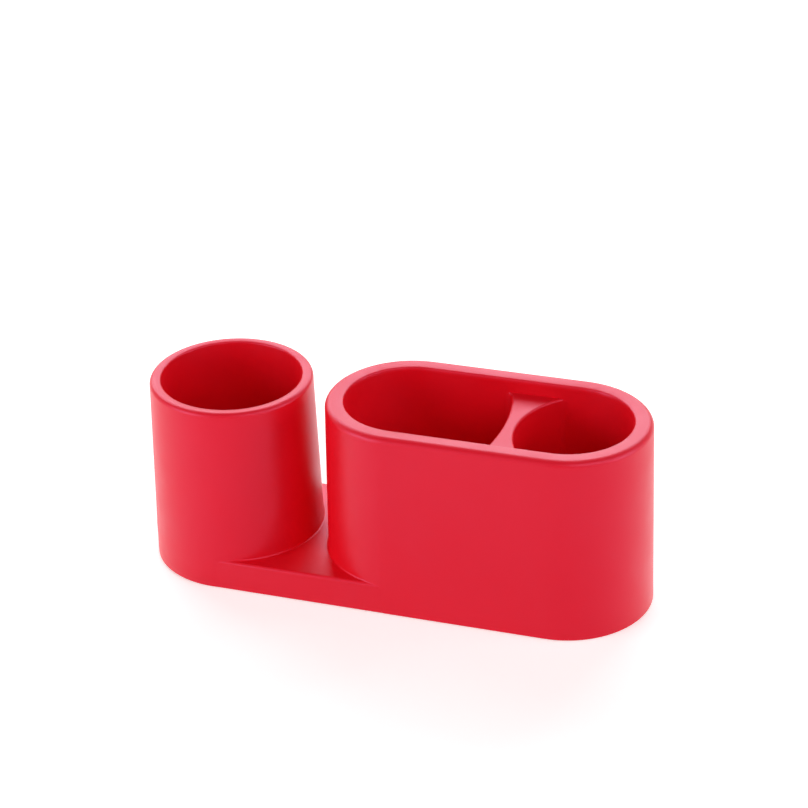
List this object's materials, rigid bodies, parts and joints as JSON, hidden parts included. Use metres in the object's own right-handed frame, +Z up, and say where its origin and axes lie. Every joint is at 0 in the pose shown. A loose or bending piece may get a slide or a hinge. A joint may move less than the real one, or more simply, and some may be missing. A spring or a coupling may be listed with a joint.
{
  "type": "desk organizer",
  "caption": "Free-standing desk organizer: a round pen cup and a long rounded caddy with a divided tray, joined by a low web, in glossy red plastic.",
  "frame": {"origin": "on the table, under the middle of the footprint, at the bottom of the foot pads", "axes": "+X along the length from the pen cup to the caddy, +Y across it from the front side to the rear side, +Z up"},
  "size_m": [0.24, 0.08, 0.0924],
  "materials": {
    "shell": "smooth satin-gloss red injection-moulded plastic",
    "tray": "smooth satin-gloss red injection-moulded plastic, as the shell",
    "plate": "fine matte red plastic",
    "pad": "matte black rubber",
    "screw": "plain zinc-plated steel"
  },
  "bodies": {
    "root": {"body_shell": "shell", "caddy_tray": "tray", "base_plate": "plate", "foot_pad_cup_front": "pad", "foot_pad_cup_rear": "pad", "foot_pad_middle_front": "pad", "foot_pad_middle_rear": "pad", "foot_pad_caddy_front": "pad", "foot_pad_caddy_rear": "pad", "base_screws": "screw"}
  },
  "joints": []
}
